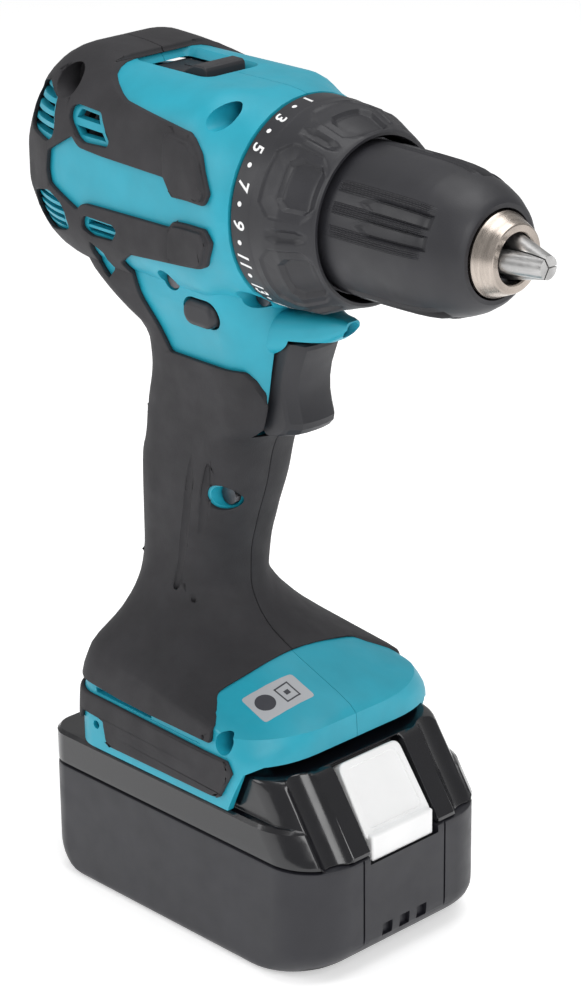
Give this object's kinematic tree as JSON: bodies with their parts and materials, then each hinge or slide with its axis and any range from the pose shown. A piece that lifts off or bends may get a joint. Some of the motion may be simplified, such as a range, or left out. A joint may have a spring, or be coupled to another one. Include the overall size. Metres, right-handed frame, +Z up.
{
  "type": "cordless drill driver",
  "caption": "Pistol-grip cordless drill driver with two-speed gearbox, torque ring, keyless three-jaw chuck and slide-on battery pack.",
  "frame": {"origin": "middle of the tool's overall length and width, on the face that the battery stands on", "axes": "+X forward along the spindle to the chuck, +Y to the tool's left, +Z up"},
  "size_m": [0.178, 0.0792, 0.2515],
  "materials": {
    "housing_plastic": "fine spark-eroded satin, teal",
    "rubber_overmould": "matte soft-touch elastomer, near black",
    "black_plastic": "satin glass-filled nylon, charcoal",
    "battery_plastic": "semi-gloss charcoal, finely textured",
    "white_plastic": "smooth white",
    "steel": "ground and lightly oiled",
    "dark_steel": "black oxide",
    "nickel": "warm satin nickel plate",
    "copper": "varnished winding wire",
    "circuit_board": "green solder mask",
    "lens": "clear moulded lens"
  },
  "bodies": {
    "body": {"housing_right": "housing_plastic", "housing_left": "housing_plastic", "rear_cover_right": "rubber_overmould", "rear_cover_left": "rubber_overmould", "grip_cover_right": "rubber_overmould", "grip_cover_left": "rubber_overmould", "foot_bumper_right": "rubber_overmould", "foot_bumper_left": "rubber_overmould", "case_screw_side": "dark_steel", "case_screw_front": "dark_steel", "case_screw_grip": "dark_steel", "stator_core": "dark_steel", "stator_windings": "copper", "sensor_board": "circuit_board", "motor_bearing_rear": "steel", "motor_bearing_front": "steel", "motor_bracket": "dark_steel", "gear_case": "dark_steel", "ring_gear_first": "dark_steel", "ring_gear_clutch": "dark_steel", "spindle_bearing": "steel", "clutch_spring": "steel", "switch_body": "black_plastic", "controller": "circuit_board", "terminal_block": "black_plastic", "work_lamp": "lens"},
    "chuck": {"spindle": "steel", "chuck_body": "dark_steel", "nose_collar": "nickel"},
    "sleeve": {"chuck_sleeve": "black_plastic", "chuck_nut": "steel"},
    "jaw_1": {"chuck_jaw_1": "steel"},
    "jaw_2": {"chuck_jaw_2": "steel"},
    "jaw_3": {"chuck_jaw_3": "steel"},
    "rotor": {"rotor_shaft": "steel", "rotor_core": "dark_steel", "motor_fan": "black_plastic", "motor_pinion": "steel"},
    "carrier_first": {"first_carrier": "steel"},
    "carrier_second": {"second_carrier": "steel"},
    "speed_gear": {"ring_gear_speed": "dark_steel"},
    "torque_selector": {"torque_ring": "black_plastic"},
    "clutch_nut": {"spring_holder": "dark_steel"},
    "speed_switch": {"speed_slider": "black_plastic"},
    "direction_switch": {"direction_lever": "black_plastic"},
    "trigger_body": {"trigger": "black_plastic"},
    "battery": {"battery_case_lower": "battery_plastic", "battery_case_upper": "battery_plastic", "battery_cells": "battery_plastic"},
    "battery_release": {"release_button": "white_plastic"},
    "charge_check": {"charge_button": "rubber_overmould"},
    "first_planet_body_1": {"first_planet_1": "steel"},
    "first_planet_body_2": {"first_planet_2": "steel"},
    "first_planet_body_3": {"first_planet_3": "steel"},
    "second_planet_body_1": {"second_planet_1": "steel"},
    "second_planet_body_2": {"second_planet_2": "steel"},
    "second_planet_body_3": {"second_planet_3": "steel"},
    "third_planet_body_1": {"third_planet_1": "steel"},
    "third_planet_body_2": {"third_planet_2": "steel"},
    "third_planet_body_3": {"third_planet_3": "steel"}
  },
  "joints": [
    {"name": "chuck_turn", "type": "hinge", "parent": "body", "child": "chuck", "pos_m": [0.0009, 0, 0.2178], "axis": [1, 0, 0], "continuous": true},
    {"name": "second_carrier_turn", "type": "hinge", "parent": "body", "child": "carrier_second", "pos_m": [-0.0086, 0, 0.2178], "axis": [1, 0, 0], "continuous": true},
    {"name": "first_carrier_turn", "type": "hinge", "parent": "body", "child": "carrier_first", "pos_m": [-0.0181, 0, 0.2178], "axis": [1, 0, 0], "continuous": true},
    {"name": "motor_turn", "type": "hinge", "parent": "body", "child": "rotor", "pos_m": [-0.05, 0, 0.2178], "axis": [1, 0, 0], "continuous": true},
    {"name": "first_planet_spin_1", "type": "hinge", "parent": "carrier_first", "child": "first_planet_body_1", "pos_m": [-0.0235, 0, 0.2286], "axis": [1, 0, 0], "continuous": true},
    {"name": "first_planet_spin_2", "type": "hinge", "parent": "carrier_first", "child": "first_planet_body_2", "pos_m": [-0.0235, -0.00935, 0.2124], "axis": [1, 0, 0], "continuous": true},
    {"name": "first_planet_spin_3", "type": "hinge", "parent": "carrier_first", "child": "first_planet_body_3", "pos_m": [-0.0235, 0.00935, 0.2124], "axis": [1, 0, 0], "continuous": true},
    {"name": "second_planet_spin_1", "type": "hinge", "parent": "carrier_second", "child": "second_planet_body_1", "pos_m": [-0.014, 0, 0.2298], "axis": [1, 0, 0], "continuous": true},
    {"name": "second_planet_spin_2", "type": "hinge", "parent": "carrier_second", "child": "second_planet_body_2", "pos_m": [-0.014, -0.01039, 0.2118], "axis": [1, 0, 0], "continuous": true},
    {"name": "second_planet_spin_3", "type": "hinge", "parent": "carrier_second", "child": "second_planet_body_3", "pos_m": [-0.014, 0.01039, 0.2118], "axis": [1, 0, 0], "continuous": true},
    {"name": "third_planet_spin_1", "type": "hinge", "parent": "chuck", "child": "third_planet_body_1", "pos_m": [-0.0045, 0, 0.2298], "axis": [1, 0, 0], "continuous": true},
    {"name": "third_planet_spin_2", "type": "hinge", "parent": "chuck", "child": "third_planet_body_2", "pos_m": [-0.0045, -0.01039, 0.2118], "axis": [1, 0, 0], "continuous": true},
    {"name": "third_planet_spin_3", "type": "hinge", "parent": "chuck", "child": "third_planet_body_3", "pos_m": [-0.0045, 0.01039, 0.2118], "axis": [1, 0, 0], "continuous": true},
    {"name": "sleeve_turn", "type": "hinge", "parent": "chuck", "child": "sleeve", "pos_m": [0.049, 0, 0.2178], "axis": [1, 0, 0], "range_deg": [0, 2880]},
    {"name": "jaw_1_slide", "type": "slide", "parent": "chuck", "child": "jaw_1", "axis": [-0.9603, -0.279, 0], "range_m": [0, 0.0205]},
    {"name": "jaw_2_slide", "type": "slide", "parent": "chuck", "child": "jaw_2", "axis": [-0.9603, 0.1395, -0.2416], "range_m": [0, 0.0205]},
    {"name": "jaw_3_slide", "type": "slide", "parent": "chuck", "child": "jaw_3", "axis": [-0.9603, 0.1395, 0.2416], "range_m": [0, 0.0205]},
    {"name": "torque_turn", "type": "hinge", "parent": "body", "child": "torque_selector", "pos_m": [0.015, 0, 0.2178], "axis": [1, 0, 0], "range_deg": [0, 300]},
    {"name": "clutch_nut_slide", "type": "slide", "parent": "body", "child": "clutch_nut", "axis": [-1, 0, 0], "range_m": [0, 0.005], "deforming": ["clutch_spring"]},
    {"name": "speed_slide", "type": "slide", "parent": "body", "child": "speed_switch", "axis": [-1, 0, 0], "range_m": [0, 0.0075]},
    {"name": "speed_gear_slide", "type": "slide", "parent": "body", "child": "speed_gear", "axis": [-1, 0, 0], "range_m": [0, 0.003]},
    {"name": "direction_slide", "type": "slide", "parent": "body", "child": "direction_switch", "axis": [0, 1, 0], "range_m": [-0.0018, 0.0018]},
    {"name": "trigger_pull", "type": "slide", "parent": "body", "child": "trigger_body", "axis": [-1, 0, 0], "range_m": [0, 0.0065], "stiffness_N_per_m": 600, "springref_m": -0.004},
    {"name": "battery_slide", "type": "slide", "parent": "body", "child": "battery", "axis": [1, 0, 0], "range_m": [0, 0.1]},
    {"name": "battery_release_slide", "type": "slide", "parent": "battery", "child": "battery_release", "axis": [0.5572, 0, -0.8304], "range_m": [0, 0.004], "stiffness_N_per_m": 500, "springref_m": -0.003},
    {"name": "charge_check_press", "type": "slide", "parent": "battery", "child": "charge_check", "axis": [1, 0, 0], "range_m": [0, 0.001], "stiffness_N_per_m": 800, "springref_m": -0.001}
  ],
  "couplings": [
    {"joint": "second_carrier_turn", "follows": "chuck_turn", "ratio": 3.3333},
    {"joint": "first_carrier_turn", "follows": "chuck_turn", "ratio": 11.111},
    {"joint": "motor_turn", "follows": "chuck_turn", "ratio": 50},
    {"joint": "first_planet_spin_1", "follows": "chuck_turn", "ratio": -31.111},
    {"joint": "first_planet_spin_2", "follows": "chuck_turn", "ratio": -31.111},
    {"joint": "first_planet_spin_3", "follows": "chuck_turn", "ratio": -31.111},
    {"joint": "second_planet_spin_1", "follows": "chuck_turn", "ratio": -11.667},
    {"joint": "second_planet_spin_2", "follows": "chuck_turn", "ratio": -11.667},
    {"joint": "second_planet_spin_3", "follows": "chuck_turn", "ratio": -11.667},
    {"joint": "third_planet_spin_1", "follows": "chuck_turn", "ratio": -3.5},
    {"joint": "third_planet_spin_2", "follows": "chuck_turn", "ratio": -3.5},
    {"joint": "third_planet_spin_3", "follows": "chuck_turn", "ratio": -3.5},
    {"joint": "jaw_1_slide", "follows": "sleeve_turn", "m_per_rad": 0.00040783},
    {"joint": "jaw_2_slide", "follows": "sleeve_turn", "m_per_rad": 0.00040783},
    {"joint": "jaw_3_slide", "follows": "sleeve_turn", "m_per_rad": 0.00040783},
    {"joint": "clutch_nut_slide", "follows": "torque_turn", "m_per_rad": 0.00091673},
    {"joint": "speed_gear_slide", "follows": "speed_slide", "ratio": 0.4}
  ]
}
